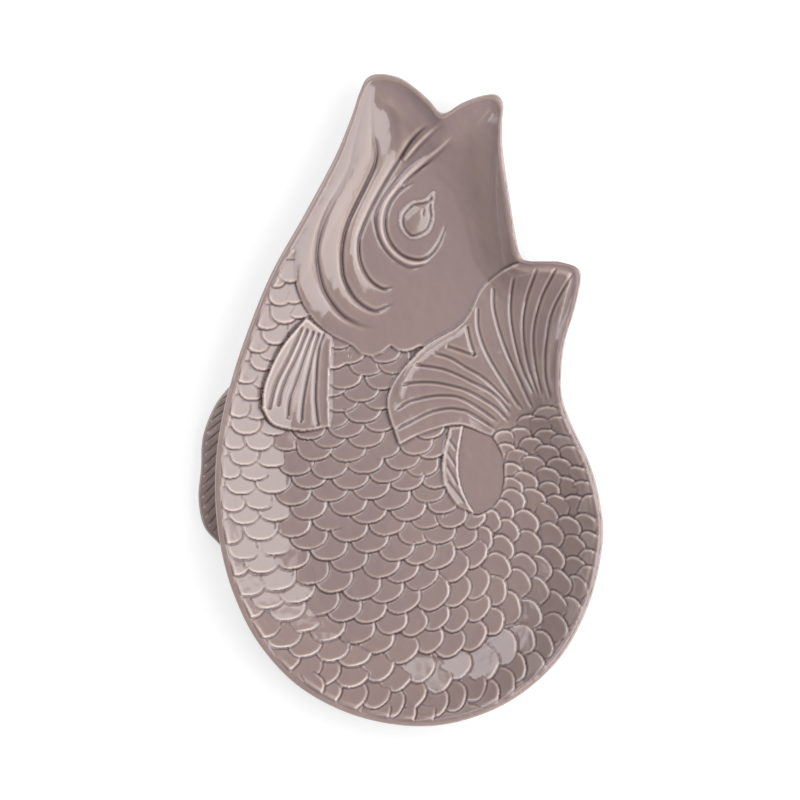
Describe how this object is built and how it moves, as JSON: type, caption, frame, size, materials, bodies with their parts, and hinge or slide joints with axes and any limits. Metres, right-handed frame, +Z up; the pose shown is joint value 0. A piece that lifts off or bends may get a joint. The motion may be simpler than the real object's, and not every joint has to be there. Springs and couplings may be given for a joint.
{
  "type": "fish shaped serving platter",
  "caption": "Stoneware serving platter in the outline of a curled fish, with head, folded fins and shingled scales in relief inside a raised rim and a bare foot ring below",
  "frame": {"origin": "on the table under the middle of the platter's outline", "axes": "+X to the platter's right seen from above, +Y along its length towards the jaws, +Z up"},
  "size_m": [0.2112, 0.3397, 0.0268],
  "materials": {
    "glaze": "glossy grey mauve glaze, paler and pinker where it runs thin on edges, darker where it pools",
    "foot": "bare fired stoneware, matt, wiped clean of glaze"
  },
  "bodies": {
    "root": {"platter_body": "glaze", "foot_ring": "foot", "upper_jaw": "glaze", "upper_lip": "glaze", "lower_jaw": "glaze", "gill_cover": "glaze", "eye_socket": "glaze", "eye_rim": "glaze", "eyeball": "glaze", "pectoral_fin": "glaze", "tail_fin": "glaze", "back_fin": "glaze", "belly_fin": "glaze", "flank_scales": "glaze", "belly_scales": "glaze", "tail_scales": "glaze"}
  },
  "joints": []
}
